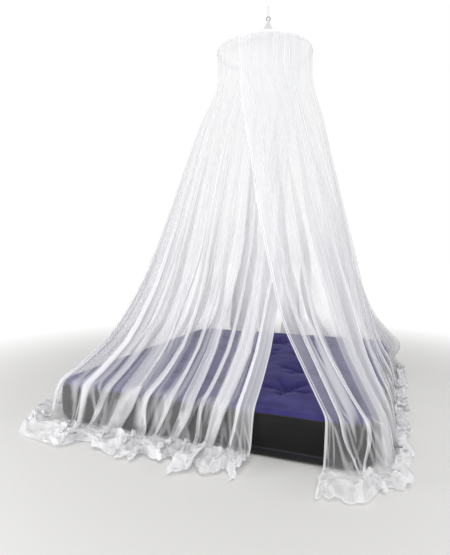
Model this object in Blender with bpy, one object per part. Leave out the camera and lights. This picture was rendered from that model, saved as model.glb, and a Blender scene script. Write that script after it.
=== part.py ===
"""Mosquito net canopy over an air mattress: hoop, crown, skirt of net, ring, cord loop, mattress.

Metres, +Z up. The origin is on the floor under the middle of the mattress, whose sides lie along
X and Y. The net opens at the front, towards -Y.
"""
import math

import bmesh
import bpy
from mathutils import Matrix, Vector

# ---- mattress ----
MATTRESS_WIDTH = 1.76
MATTRESS_LENGTH = 2.03
MATTRESS_HEIGHT = 0.22
MATTRESS_CORNER = 0.17          # plan radius of its corners
MATTRESS_ROUND = 0.05           # radius along its top and bottom edges
MATTRESS_CORNER_STEPS = 7
MATTRESS_ROUND_STEPS = 4

# ---- hoop ----
HOOP_RADIUS = 0.32
HOOP_WIRE = 0.005               # radius of the taped wire
HOOP_CENTRE = Vector((0.065, 0.0, 2.30))
HOOP_TIP_X = math.radians(-1.0)  # rise towards +X
HOOP_TIP_Y = math.radians(2.3)   # rise towards +Y
HOOP_STEPS = 48
HOOP_SIDES = 8

# ---- net ----
NET_THICK = 0.002
SEAM_GAP = 0.0005               # between the hoop and the edges sewn to it
LAP_START = math.radians(-11.4)  # outer front edge, measured round from -Y towards +X
DOOR_RIGHT = 0.655              # X of the outer edge where it crosses the mattress edge
DOOR_LEFT = 0.335               # X of the inner edge there
EDGE_CLEAR = 0.005              # the net's base line stands this far outside the mattress
EDGE_HEIGHT = 0.229             # and passes its top edge at this height
FINE_FOLDS = 40                 # gathers set by the hoop
FOLDS_A_TURN = 33               # whole, so that the gathers of the two front layers nest
LAP_TURN = 2 * math.pi * FINE_FOLDS / FOLDS_A_TURN  # the sheet's way round the hoop
BROAD_FOLDS = 23                # wider folds that take over lower down
BROAD_DRIFT = (1.9, 3)          # how far they stray from even spacing, in radians, and how often
COLUMNS_PER_FOLD = 5
FOLD_CROWDING = 0.55            # how much closer the folds lie by the front opening
FOLD_UNEVEN = (0.35, 5, 1.3)    # share by which folds weaken, how often, and where it starts
HEM_FLATTEN = 0.03              # share of the sheet at each front edge where the folds die away
HEM_FOLD = 0.35                 # share of their depth left at the edge itself
FLAP_WIDTH = 0.06               # share of the sheet that follows the outer front edge
RUFFLE_UNEVEN = 0.16
RUFFLE_WAVES = ((0.6, 13, 0.8), (0.4, 29, 2.1))  # share, waves along the hem, where it starts
REACH = {"front": 0.20, "right": 0.07, "left": 0.09, "back": 0.10}  # ruffles beyond the foot

# One row for each level of the skirt, from the hoop to the floor hem.
# fall: share of the drop from hoop to mattress edge; right, left, flap: share of the spread from
# hoop to mattress edge on the right half, the left half and by the outer front edge; fold: fold
# depth; broad: share of it in broad folds; lap: how far the overlapping fronts stand apart;
# wall: distance out from the mattress edge line; share: share of the floor reach;
# below: depth under the edge line; lift: how high the ruffles stand.
LEVEL_COLUMNS = ("fall", "right", "left", "flap", "fold", "broad", "lap", "wall", "share",
                 "below", "lift")
LEVELS = (
    (0.00, 0.000, 0.000, 0.000, 0.004, 0.0, 0.007, 0.000, 0.00, 0.0000, 0.000),
    (0.08, -0.022, 0.000, 0.010, 0.007, 0.0, 0.014, 0.000, 0.00, 0.0000, 0.000),
    (0.25, 0.116, 0.160, 0.101, 0.013, 0.2, 0.036, 0.000, 0.00, 0.0000, 0.000),
    (0.40, 0.256, 0.278, 0.228, 0.018, 0.3, 0.036, 0.000, 0.00, 0.0000, 0.000),
    (0.55, 0.408, 0.376, 0.323, 0.023, 0.4, 0.028, 0.000, 0.00, 0.0000, 0.000),
    (0.70, 0.568, 0.480, 0.460, 0.028, 0.5, 0.014, 0.000, 0.00, 0.0000, 0.000),
    (0.82, 0.700, 0.610, 0.590, 0.031, 0.5, 0.008, 0.000, 0.00, 0.0000, 0.000),
    (0.92, 0.830, 0.765, 0.810, 0.030, 0.5, 0.004, 0.000, 0.00, 0.0000, 0.000),
    (1.00, 1.000, 1.000, 1.000, 0.024, 0.5, 0.000, -0.003, 0.00, 0.0000, 0.000),
    (1.00, 1.000, 1.000, 1.000, 0.022, 0.4, 0.000, 0.020, 0.00, 0.0590, 0.000),
    (1.00, 1.000, 1.000, 1.000, 0.024, 0.4, 0.000, 0.034, 0.04, 0.1550, 0.000),
    (1.00, 1.000, 1.000, 1.000, 0.018, 0.4, 0.000, 0.040, 0.20, 0.2070, 0.020),
    (1.00, 1.000, 1.000, 1.000, 0.014, 0.4, 0.000, 0.034, 0.62, 0.2090, 0.048),
    (1.00, 1.000, 1.000, 1.000, 0.020, 0.4, 0.000, 0.034, 1.00, 0.2275, 0.016),
)

# ---- crown ----
# rise: height above the hoop; spread: share of the hoop's radius; fold: fold depth
CAP_COLUMNS = ("rise", "spread", "fold")
CAP_LEVELS = (
    (HOOP_WIRE + SEAM_GAP + NET_THICK, 1.000, 0.002),
    (0.022, 0.800, 0.006),
    (0.050, 0.520, 0.006),
    (0.095, 0.260, 0.004),
    (0.150, 0.110, 0.002),
)
CAP_FOLDS = 26
CAP_COLUMNS_PER_FOLD = 4
CAP_FOLD_SLANT = 0.6            # a fold goes this far outwards for each metre that it rises
CAP_INSIDE = 0.004              # the underside's spread is less by this
CAP_TIP_DEPTH = 0.012           # from the neck's foot down to the top of the hollow
NECK_BASE = 0.190               # rise of the neck's foot above the hoop
NECK_TOP = 0.222
NECK_WIDTH = 0.018              # the neck is flat: wide along Y, thin along X
NECK_DEPTH = 0.008
NECK_HOLE = 0.0035              # radius of the hole that the ring goes through
NECK_HOLE_DROP = 0.008          # its middle below the neck's top
NECK_HOLE_SIDES = 16
NECK_SHIFT = Vector((0.026, 0.010))  # the neck hangs this far off the hoop's middle

# ---- ring and cord loop ----
RING_RADIUS = 0.0135
RING_WIRE = 0.0025
RING_STEPS = 28
RING_SIDES = 8
CORD_RADIUS = 0.0018
LOOP_HEIGHT = 0.074
LOOP_WIDTH = 0.036
LOOP_NARROWING = 0.6            # share of its width lost at the top
LOOP_STEPS = 36
LOOP_SIDES = 6
FIT_GAP = 0.0004                # between the ring and the cord


def make_material(name, colour, roughness, metallic=0.0):
    material = bpy.data.materials.new(name)
    material.use_nodes = True
    shader = material.node_tree.nodes["Principled BSDF"]
    shader.inputs["Base Color"].default_value = (*colour, 1.0)
    shader.inputs["Roughness"].default_value = roughness
    shader.inputs["Metallic"].default_value = metallic
    return material


def add_object(name, mesh, material, smooth=True):
    thing = bpy.data.objects.new(name, mesh)
    bpy.context.collection.objects.link(thing)
    mesh.materials.append(material)
    if smooth:
        mesh.shade_smooth()
    return thing


def levels_as_dicts(columns, rows):
    return [dict(zip(columns, row)) for row in rows]


def edge_line(distance):
    """Point and outward normal on the mattress outline, counted from the front middle."""
    radius = MATTRESS_CORNER + EDGE_CLEAR
    half_x = MATTRESS_WIDTH / 2 + EDGE_CLEAR
    half_y = MATTRESS_LENGTH / 2 + EDGE_CLEAR
    arc = radius * math.pi / 2
    straights = (half_x - radius, 2 * (half_y - radius), 2 * (half_x - radius),
                 2 * (half_y - radius), half_x - radius)
    distance %= sum(straights) + 4 * arc
    point = Vector((0.0, -half_y))
    heading = 0.0
    for length in straights:
        ahead = Vector((math.cos(heading), math.sin(heading)))
        outward = Vector((ahead.y, -ahead.x))
        if distance <= length:
            return point + ahead * distance, outward
        distance -= length
        point = point + ahead * length
        centre = point - outward * radius
        if distance <= arc:
            turned = Matrix.Rotation(distance / radius, 2) @ outward
            return centre + turned * radius, turned
        distance -= arc
        point = centre + ahead * radius
        heading += math.pi / 2
    return point, Vector((0.0, -1.0))


def edge_length():
    radius = MATTRESS_CORNER + EDGE_CLEAR
    straight = 2 * (MATTRESS_WIDTH + MATTRESS_LENGTH + 4 * EDGE_CLEAR - 4 * radius)
    return straight + 2 * math.pi * radius


def hoop_height(x, y):
    """Height of the hoop's plane at a place in plan."""
    return (HOOP_CENTRE.z + (x - HOOP_CENTRE.x) * math.tan(HOOP_TIP_X)
            + (y - HOOP_CENTRE.y) * math.tan(HOOP_TIP_Y))


def hoop_point(angle, radius):
    x = HOOP_CENTRE.x + radius * math.sin(angle)
    y = HOOP_CENTRE.y - radius * math.cos(angle)
    return Vector((x, y, hoop_height(x, y)))


def fold_wave(along, broad):
    """Height of the folds across the sheet, -1 to 1; along runs 0 to 1 from front edge to edge."""
    turn = 2 * math.pi
    weaken, times, start = FOLD_UNEVEN
    strength = 1 - weaken * (0.5 + 0.5 * math.sin(turn * times * along + start))
    fine = math.cos(turn * FINE_FOLDS * along) * strength
    drift, times = BROAD_DRIFT
    wide = math.sin(turn * BROAD_FOLDS * along + drift * math.sin(turn * times * along))
    return (1 - broad) * fine + broad * wide


def ruffle_wave(along):
    """Slow in and out of the ruffles' outer edge, -1 to 1."""
    return sum(share * math.sin(2 * math.pi * waves * along + start)
               for share, waves, start in RUFFLE_WAVES)


def skirt_point(along, level):
    angle = LAP_START + LAP_TURN * along
    top = hoop_point(angle, HOOP_RADIUS)
    hoop_out = Vector((math.sin(angle), -math.cos(angle)))
    crowd = along - FOLD_CROWDING * math.sin(2 * math.pi * along) / (2 * math.pi)
    span = edge_length() - DOOR_RIGHT + DOOR_LEFT
    edge, edge_out = edge_line(DOOR_RIGHT + span * crowd)

    to_left = 0.5 - 0.5 * math.cos(math.pi * along)
    by_flap = math.exp(-(along / FLAP_WIDTH) ** 2)
    spread = level["right"] + (level["left"] - level["right"]) * to_left
    spread += (level["flap"] - spread) * by_flap
    outward = (hoop_out * (1 - spread) + edge_out * spread).normalized()

    reach = (REACH["front"] * max(0.0, -edge_out.y) ** 2 + REACH["right"] * max(0.0, edge_out.x) ** 2
             + REACH["left"] * max(0.0, -edge_out.x) ** 2 + REACH["back"] * max(0.0, edge_out.y) ** 2)
    reach *= 1 + RUFFLE_UNEVEN * ruffle_wave(along)

    hem = min(along, 1 - along) / HEM_FLATTEN
    flat = min(1.0, HEM_FOLD + (1 - HEM_FOLD) * hem)
    wave = fold_wave(along, level["broad"]) * flat
    out = (level["fold"] * wave + level["lap"] * math.cos(math.pi * along)
           + level["wall"] + level["share"] * reach)
    place = top.xy * (1 - spread) + edge * spread + outward * out
    height = top.z * (1 - level["fall"]) + EDGE_HEIGHT * level["fall"] - level["below"]
    height += level["lift"] * (0.5 + 0.5 * wave)
    if level["fall"] == 0.0:
        height -= HOOP_WIRE + SEAM_GAP
    return Vector((place.x, place.y, height))


def make_skirt(material):
    levels = levels_as_dicts(LEVEL_COLUMNS, LEVELS)
    columns = FINE_FOLDS * COLUMNS_PER_FOLD
    mesh = bpy.data.meshes.new("net_skirt")
    work = bmesh.new()
    grid = [[work.verts.new(skirt_point(i / columns, level)) for level in levels]
            for i in range(columns + 1)]
    for left, right in zip(grid, grid[1:]):
        for j in range(len(levels) - 1):
            work.faces.new((left[j], left[j + 1], right[j + 1], right[j]))
    work.to_mesh(mesh)
    work.free()
    skirt = add_object("net_skirt", mesh, material)
    shell = skirt.modifiers.new("cloth thickness", "SOLIDIFY")
    shell.thickness = NET_THICK
    shell.offset = 0.0
    return skirt


def add_ring(work, points):
    return [work.verts.new(point) for point in points]


def bridge(work, lower, upper):
    """Triangles between two rings, all split the same way so that two skins stay parallel."""
    count = len(lower)
    for i in range(count):
        following = (i + 1) % count
        work.faces.new((lower[i], lower[following], upper[following]))
        work.faces.new((lower[i], upper[following], upper[i]))


def cap_ring(level, steps, drop):
    """One level of the crown; drop lowers it along the axis, for the sheet's underside."""
    points = []
    for i in range(steps):
        angle = 2 * math.pi * i / steps
        wave = math.cos(CAP_FOLDS * angle)
        radius = HOOP_RADIUS * level["spread"]
        if level["spread"] < 1:
            radius += CAP_FOLD_SLANT * level["fold"] * wave
        point = hoop_point(angle, radius)
        point.xy += NECK_SHIFT * (1 - level["spread"])
        point.z += level["rise"] + level["fold"] * (1 + wave) - drop
        points.append(point)
    return points


def neck_ring(rise, steps):
    points = []
    for i in range(steps):
        angle = 2 * math.pi * i / steps
        x = neck_middle().x + 0.5 * NECK_DEPTH * math.sin(angle)
        y = neck_middle().y - 0.5 * NECK_WIDTH * math.cos(angle)
        points.append(Vector((x, y, HOOP_CENTRE.z + rise)))
    return points


def make_cap(material):
    steps = CAP_FOLDS * CAP_COLUMNS_PER_FOLD
    levels = levels_as_dicts(CAP_COLUMNS, CAP_LEVELS)
    work = bmesh.new()
    outside = [add_ring(work, cap_ring(level, steps, 0.0)) for level in levels]
    outside.append(add_ring(work, neck_ring(NECK_BASE, steps)))
    outside.append(add_ring(work, neck_ring(NECK_TOP, steps)))
    for lower, upper in zip(outside, outside[1:]):
        bridge(work, lower, upper)
    work.faces.new(outside[-1])
    inside = []
    for level in levels:
        if level["spread"] < 1:
            level["spread"] -= CAP_INSIDE
        inside.append(add_ring(work, cap_ring(level, steps, NET_THICK)))
    for lower, upper in zip(inside, inside[1:]):
        bridge(work, lower, upper)
    bridge(work, inside[0], outside[0])
    tip = work.verts.new((*neck_middle(), HOOP_CENTRE.z + NECK_BASE - CAP_TIP_DEPTH))
    last = inside[-1]
    for i in range(steps):
        work.faces.new((last[(i + 1) % steps], last[i], tip))
    bmesh.ops.recalc_face_normals(work, faces=work.faces)
    mesh = bpy.data.meshes.new("net_cap")
    work.to_mesh(mesh)
    work.free()
    cap = add_object("net_cap", mesh, material)

    bpy.ops.mesh.primitive_cylinder_add(vertices=NECK_HOLE_SIDES, radius=NECK_HOLE, depth=4 * NECK_DEPTH)
    cutter = bpy.context.object
    cutter.name = "neck hole cutter"
    cutter.rotation_euler = (0.0, math.pi / 2, 0.0)
    cutter.location = neck_hole()
    cutter.hide_render = True
    cutter.display_type = "WIRE"
    cut = cap.modifiers.new("neck hole", "BOOLEAN")
    cut.object = cutter
    return cap


def neck_middle():
    return HOOP_CENTRE.xy + NECK_SHIFT


def neck_hole():
    return Vector((*neck_middle(), HOOP_CENTRE.z + NECK_TOP - NECK_HOLE_DROP))


def make_tube_ring(name, path, radius, sides, material):
    """Closed tube of round section along a closed list of points."""
    curve = bpy.data.curves.new(name, "CURVE")
    curve.dimensions = "3D"
    curve.bevel_depth = radius
    curve.bevel_resolution = (sides - 4) // 2
    spline = curve.splines.new("POLY")
    spline.points.add(len(path) - 1)
    for place, point in zip(spline.points, path):
        place.co = (*point, 1.0)
    spline.use_cyclic_u = True
    thing = bpy.data.objects.new(name, curve)
    bpy.context.collection.objects.link(thing)
    curve.materials.append(material)
    return thing


def make_hoop(material):
    path = [hoop_point(2 * math.pi * i / HOOP_STEPS, HOOP_RADIUS) for i in range(HOOP_STEPS)]
    return make_tube_ring("hoop", path, HOOP_WIRE, HOOP_SIDES, material)


def ring_centre():
    return neck_hole() + Vector((0.0, 0.0, RING_RADIUS))


def make_hanging_ring(material):
    path = []
    for i in range(RING_STEPS):
        angle = 2 * math.pi * i / RING_STEPS
        path.append(ring_centre() + Vector((math.sin(angle), 0.0, -math.cos(angle))) * RING_RADIUS)
    return make_tube_ring("hanging_ring", path, RING_WIRE, RING_SIDES, material)


def make_hanging_loop(material):
    """A long drop shape in the YZ plane, its lower end inside the top of the ring."""
    bottom = ring_centre().z + RING_RADIUS - RING_WIRE - FIT_GAP - CORD_RADIUS
    centre = ring_centre()
    path = []
    for i in range(LOOP_STEPS):
        angle = 2 * math.pi * i / LOOP_STEPS
        share = 0.5 - 0.5 * math.cos(angle)
        width = 0.5 * LOOP_WIDTH * math.sin(angle) * (1 - LOOP_NARROWING * share)
        path.append(Vector((centre.x, centre.y + width, bottom + LOOP_HEIGHT * share)))
    return make_tube_ring("hanging_loop", path, CORD_RADIUS, LOOP_SIDES, material)


def make_mattress(material):
    work = bmesh.new()
    bmesh.ops.create_cube(work, size=1.0)
    size = Vector((MATTRESS_WIDTH, MATTRESS_LENGTH, MATTRESS_HEIGHT))
    bmesh.ops.scale(work, vec=size, verts=work.verts)
    bmesh.ops.translate(work, vec=(0.0, 0.0, MATTRESS_HEIGHT / 2), verts=work.verts)
    upright = [edge for edge in work.edges
               if abs(edge.verts[0].co.z - edge.verts[1].co.z) > MATTRESS_HEIGHT / 2]
    bmesh.ops.bevel(work, geom=upright, offset=MATTRESS_CORNER, offset_type="OFFSET",
                    segments=MATTRESS_CORNER_STEPS, profile=0.5, affect="EDGES")
    level = [edge for edge in work.edges
             if abs(edge.verts[0].co.z - edge.verts[1].co.z) < 1e-6 and len(edge.link_faces) == 2
             and abs(edge.link_faces[0].normal.z - edge.link_faces[1].normal.z) > 0.5]
    bmesh.ops.bevel(work, geom=level, offset=MATTRESS_ROUND, offset_type="OFFSET",
                    segments=MATTRESS_ROUND_STEPS, profile=0.5, affect="EDGES")
    mesh = bpy.data.meshes.new("air_mattress")
    work.to_mesh(mesh)
    work.free()
    mattress = add_object("air_mattress", mesh, material)
    mesh.set_sharp_from_angle(angle=math.radians(40))
    return mattress


def main():
    for thing in list(bpy.data.objects):
        bpy.data.objects.remove(thing, do_unlink=True)
    net = make_material("white net", (0.90, 0.90, 0.92), 0.8)
    tape = make_material("pale hoop tape", (0.72, 0.72, 0.74), 0.7)
    steel = make_material("dark steel", (0.17, 0.17, 0.18), 0.35, metallic=1.0)
    cord = make_material("light grey cord", (0.75, 0.75, 0.76), 0.8)
    flock = make_material("indigo flock", (0.05, 0.045, 0.22), 0.9)
    make_mattress(flock)
    make_skirt(net)
    make_cap(net)
    make_hoop(tape)
    make_hanging_ring(steel)
    make_hanging_loop(cord)


main()
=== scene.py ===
import math
from types import SimpleNamespace

import bmesh
import bpy
import numpy as np
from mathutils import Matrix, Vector


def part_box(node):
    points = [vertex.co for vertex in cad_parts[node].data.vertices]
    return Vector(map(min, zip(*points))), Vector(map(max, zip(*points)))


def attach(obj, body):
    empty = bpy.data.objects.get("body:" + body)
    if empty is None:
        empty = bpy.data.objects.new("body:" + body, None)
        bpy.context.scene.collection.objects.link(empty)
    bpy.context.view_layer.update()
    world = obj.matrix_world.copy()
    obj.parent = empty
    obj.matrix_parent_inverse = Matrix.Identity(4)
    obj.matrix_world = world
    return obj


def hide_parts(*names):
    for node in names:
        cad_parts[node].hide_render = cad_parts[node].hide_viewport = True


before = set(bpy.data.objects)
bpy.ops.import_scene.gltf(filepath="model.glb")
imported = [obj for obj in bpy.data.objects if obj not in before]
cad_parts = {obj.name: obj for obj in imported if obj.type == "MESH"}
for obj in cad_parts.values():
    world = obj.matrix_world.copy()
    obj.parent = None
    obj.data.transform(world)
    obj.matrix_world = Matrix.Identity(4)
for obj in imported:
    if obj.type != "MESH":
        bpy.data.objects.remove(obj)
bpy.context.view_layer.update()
bedLow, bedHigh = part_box("air_mattress")
hoopLow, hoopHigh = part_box("hoop")
fullTurn = 2 * math.pi
print("frame loaded")


studio = {
    "cameraPlace": (0.926, -2.840, 0.912),
    "cameraTurn": 22.0,         # degrees to the left of straight ahead
    "cameraDip": 2.61,          # degrees below level
    "lens": 34.05,              # mm
    "sensorWidth": 36.0,        # mm
    "seesTo": 200.0,
    "floorSize": 120.0,
    "floorDrop": 0.0005,        # the floor lies just under what stands on it
    "floorShades": ((0.64, 0.635, 0.625), (0.93, 0.93, 0.93)),  # near and far
    "floorGlow": 0.24,          # makes the far floor as white as the backdrop
    "floorFade": (1.3, 4.2),    # metres from the middle, from the near colour to the far one
    "floorSockets": {"Roughness": 0.95, "Specular IOR Level": 0.0, "Emission Color": (1.0, 1.0, 1.0, 1.0)},
    "backdrop": 1.0,            # the white seen behind
    "skyStrength": 0.515,       # its light on the object
    "keyTurn": (55.0, 22.0),    # degrees: height above level, round from the front to the right
    "keyAway": 6.0,
    "keyStrength": 1.60,
    "keySoftness": 34.0,        # degrees across
    "softLamps": (              # name, place, what it is aimed at, size and power
        ("fillLight", (-2.0, -3.6, 0.45), (0.2, -0.6, 0.3), 1.6, 90.0),
        ("sideLight", (2.9, -0.9, 0.75), (0.9, 0.0, 0.3), 1.2, 18.0),
    ),
    "layersSeenThrough": 64,
    "bounces": 16,
    "diffuseBounces": 8,
}


def addCamera():
    data = bpy.data.cameras.new("mainCamera")
    data.sensor_fit = "HORIZONTAL"
    data.sensor_width = studio["sensorWidth"]
    data.lens = studio["lens"]
    data.clip_end = studio["seesTo"]
    camera = bpy.data.objects.new("mainCamera", data)
    bpy.context.scene.collection.objects.link(camera)
    camera.location = studio["cameraPlace"]
    tilt = math.radians(90 - studio["cameraDip"])
    camera.rotation_euler = (tilt, 0.0, math.radians(studio["cameraTurn"]))
    bpy.context.scene.camera = camera


def addLamp(name, kind, place, aim, power):
    data = bpy.data.lights.new(name, kind)
    data.energy = power
    lamp = bpy.data.objects.new(name, data)
    bpy.context.scene.collection.objects.link(lamp)
    lamp.location = place
    lamp.rotation_euler = (Vector(aim) - Vector(place)).to_track_quat("-Z", "Y").to_euler()
    return data


def addLamps():
    rise, toRight = (math.radians(degrees) for degrees in studio["keyTurn"])
    away = studio["keyAway"]
    keyPlace = (away * math.cos(rise) * math.sin(toRight),
                -away * math.cos(rise) * math.cos(toRight),
                away * math.sin(rise))
    key = addLamp("keyLight", "SUN", keyPlace, (0.0, 0.0, 0.0), studio["keyStrength"])
    key.angle = math.radians(studio["keySoftness"])
    for name, place, aim, size, power in studio["softLamps"]:
        lamp = addLamp(name, "AREA", place, aim, power)
        lamp.shape = "DISK"
        lamp.size = size


# white where the camera looks past the object, dimmer as a light on it
def addSky():
    world = bpy.data.worlds.new("softRoom")
    bpy.context.scene.world = world
    world.use_nodes = True
    tree = world.node_tree
    sky = tree.nodes["Background"]
    sky.inputs["Color"].default_value = (1.0, 1.0, 1.0, 1.0)
    seen = tree.nodes.new("ShaderNodeLightPath").outputs["Is Camera Ray"]
    brightness = mathNode(tree, "MULTIPLY_ADD", seen,
                          studio["backdrop"] - studio["skyStrength"], studio["skyStrength"])
    tree.links.new(brightness, sky.inputs["Strength"])


def addFloor():
    bpy.ops.object.select_all(action="DESELECT")
    bpy.ops.mesh.primitive_plane_add(size=studio["floorSize"], location=(0.0, 0.0, -studio["floorDrop"]))
    floor = bpy.context.object
    floor.name = "floor"
    floor.data.materials.append(makeFloorMaterial())


def addStudio():
    addCamera()
    addLamps()
    addSky()
    addFloor()
    scene = bpy.context.scene
    scene.view_settings.view_transform = "Standard"
    scene.cycles.transparent_max_bounces = studio["layersSeenThrough"]
    scene.cycles.max_bounces = studio["bounces"]
    scene.cycles.diffuse_bounces = studio["diffuseBounces"]
    print("studio ready")


def newMaterial(name, sockets):
    material = bpy.data.materials.new(name)
    material.use_nodes = True
    shader = material.node_tree.nodes["Principled BSDF"]
    for socket, value in sockets.items():
        shader.inputs[socket].default_value = value
    return material, material.node_tree, shader


def mathNode(tree, operation, *values):
    node = tree.nodes.new("ShaderNodeMath")
    node.operation = operation
    for socket, value in zip(node.inputs, values):
        if isinstance(value, (int, float)):
            socket.default_value = value
        else:
            tree.links.new(value, socket)
    return node.outputs[0]


def noiseNode(tree, scale, detail, stretch=None):
    noise = tree.nodes.new("ShaderNodeTexNoise")
    noise.inputs["Scale"].default_value = scale
    noise.inputs["Detail"].default_value = detail
    place = tree.nodes.new("ShaderNodeTexCoord").outputs["Object"]
    if stretch:
        mapping = tree.nodes.new("ShaderNodeMapping")
        mapping.inputs["Scale"].default_value = stretch
        tree.links.new(place, mapping.inputs["Vector"])
        place = mapping.outputs[0]
    tree.links.new(place, noise.inputs["Vector"])
    return noise.outputs["Fac"]


# gives the shader its colour, between two shades
def rampNode(tree, factor, places, shades):
    shading = tree.nodes.new("ShaderNodeValToRGB")
    for stop, place, shade in zip(shading.color_ramp.elements, places, shades):
        stop.position = place
        stop.color = (*shade, 1.0)
    tree.links.new(factor, shading.inputs["Fac"])
    tree.links.new(shading.outputs["Color"], tree.nodes["Principled BSDF"].inputs["Base Color"])


# gives the shader its relief
def bumpNode(tree, height, strength, distance):
    bump = tree.nodes.new("ShaderNodeBump")
    bump.inputs["Strength"].default_value = strength
    bump.inputs["Distance"].default_value = distance
    tree.links.new(height, bump.inputs["Height"])
    tree.links.new(bump.outputs["Normal"], tree.nodes["Principled BSDF"].inputs["Normal"])
    return bump.outputs["Normal"]


def makeFloorMaterial():
    material, tree, shader = newMaterial("paleFloor", studio["floorSockets"])
    place = tree.nodes.new("ShaderNodeTexCoord").outputs["Object"]
    away = tree.nodes.new("ShaderNodeVectorMath")
    away.operation = "LENGTH"
    tree.links.new(place, away.inputs[0])
    fade = tree.nodes.new("ShaderNodeMapRange")
    fade.interpolation_type = "SMOOTHSTEP"
    near, far = studio["floorFade"]
    fade.inputs["From Min"].default_value = near
    fade.inputs["From Max"].default_value = far
    tree.links.new(away.outputs["Value"], fade.inputs["Value"])
    rampNode(tree, fade.outputs["Result"], (0.0, 1.0), studio["floorShades"])
    glow = mathNode(tree, "MULTIPLY", fade.outputs["Result"], studio["floorGlow"])
    tree.links.new(glow, shader.inputs["Emission Strength"])
    return material


threadColour = (0.90, 0.90, 0.915, 1.0)
netFinish = {
    "sockets": {"Base Color": threadColour, "Roughness": 0.8, "Specular IOR Level": 0.15,
                "Sheen Weight": 0.15},
    "coverOneLayer": 0.20,      # share of the view that one flat layer stops
    "fewestLayers": 0.8,
    "meshPitch": 0.0022,        # metres from hole to hole
    "meshContrast": 0.12,
    "facetsToTheMetre": 34.0,
    "facetDepth": 0.007,
    "facetLines": 16.0,         # layers more along the lines between facets
    "facetLineThin": 3.0,       # more makes those lines thinner
    "facetSheer": 1.5,          # layers fewer in the middle of each facet
    "glow": 0.5,                # share of the light that comes through the threads
}


# white thread whose cover grows with the mesh's own values: "layers" of net that lie over
# each other, and "crumpled", from 0 where the cloth hangs to 1 where it lies in a heap
def makeNetMaterial():
    finish = netFinish
    material, tree, shader = newMaterial("sheerNet", finish["sockets"])
    nodes, links = tree.nodes, tree.links
    through = nodes.new("ShaderNodeBsdfTranslucent")
    through.inputs["Color"].default_value = threadColour
    cloth = nodes.new("ShaderNodeMixShader")
    cloth.inputs["Fac"].default_value = finish["glow"]
    links.new(shader.outputs[0], cloth.inputs[1])
    links.new(through.outputs[0], cloth.inputs[2])
    layers, crumpled = nodes.new("ShaderNodeAttribute"), nodes.new("ShaderNodeAttribute")
    layers.attribute_name = "layers"
    crumpled.attribute_name = "crumpled"

    # knitted holes: crossed waves along and across the cloth, in its own lengths
    uv = nodes.new("ShaderNodeUVMap")
    uv.uv_map = "cloth"
    split = nodes.new("ShaderNodeSeparateXYZ")
    links.new(uv.outputs["UV"], split.inputs[0])
    threads = fullTurn / finish["meshPitch"]
    across = mathNode(tree, "SINE", mathNode(tree, "MULTIPLY", split.outputs[0], threads))
    down = mathNode(tree, "SINE", mathNode(tree, "MULTIPLY", split.outputs[1], threads))
    knit = mathNode(tree, "MULTIPLY", across, down)
    cover = finish["coverOneLayer"]
    clear = mathNode(tree, "MULTIPLY_ADD", knit, -finish["meshContrast"] * cover, 1 - cover)

    # small facets where the cloth lies crumpled, with denser lines between them
    facets = nodes.new("ShaderNodeTexVoronoi")
    facets.inputs["Scale"].default_value = finish["facetsToTheMetre"]
    links.new(uv.outputs["UV"], facets.inputs["Vector"])
    fromMiddle = facets.outputs["Distance"]
    height = mathNode(tree, "MULTIPLY", fromMiddle, crumpled.outputs["Fac"])
    links.new(bumpNode(tree, height, 1.0, finish["facetDepth"]), through.inputs["Normal"])
    web = mathNode(tree, "POWER", fromMiddle, finish["facetLineThin"])
    web = mathNode(tree, "MULTIPLY", web, finish["facetLines"])
    web = mathNode(tree, "SUBTRACT", web, finish["facetSheer"])

    # what one layer lets through, once for each layer
    thick = mathNode(tree, "MULTIPLY_ADD", web, crumpled.outputs["Fac"], layers.outputs["Fac"])
    thick = mathNode(tree, "MAXIMUM", thick, finish["fewestLayers"])
    solid = mathNode(tree, "SUBTRACT", 1.0, mathNode(tree, "POWER", clear, thick))
    mix = nodes.new("ShaderNodeMixShader")
    links.new(solid, mix.inputs["Fac"])
    links.new(nodes.new("ShaderNodeBsdfTransparent").outputs[0], mix.inputs[1])
    links.new(cloth.outputs[0], mix.inputs[2])
    links.new(mix.outputs[0], nodes["Material Output"].inputs["Surface"])
    return material


flockFinish = {
    "sockets": {"Roughness": 0.95, "Specular IOR Level": 0.1, "Sheen Weight": 0.20, "Sheen Roughness": 0.4,
                "Sheen Tint": (0.62, 0.60, 0.95, 1.0)},
    "shades": ((0.021, 0.017, 0.080), (0.055, 0.046, 0.180)),
    "shadesAt": (0.30, 0.70),   # where they lie in the mottling
    "brushed": (9.0, 4.0),      # brushed patches to the metre, and their detail
    "pile": (900.0, 2.0),
    "pileShare": 0.35,
    "pileRelief": (0.35, 0.0015),   # strength and depth
}


def makeFlockMaterial():
    finish = flockFinish
    material, tree, _ = newMaterial("blueFlock", finish["sockets"])
    brushed = noiseNode(tree, *finish["brushed"])
    brushed = mathNode(tree, "MULTIPLY", brushed, 1 - finish["pileShare"])
    pile = noiseNode(tree, *finish["pile"])
    both = mathNode(tree, "MULTIPLY_ADD", pile, finish["pileShare"], brushed)
    rampNode(tree, both, finish["shadesAt"], finish["shades"])
    bumpNode(tree, both, *finish["pileRelief"])
    return material


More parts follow.
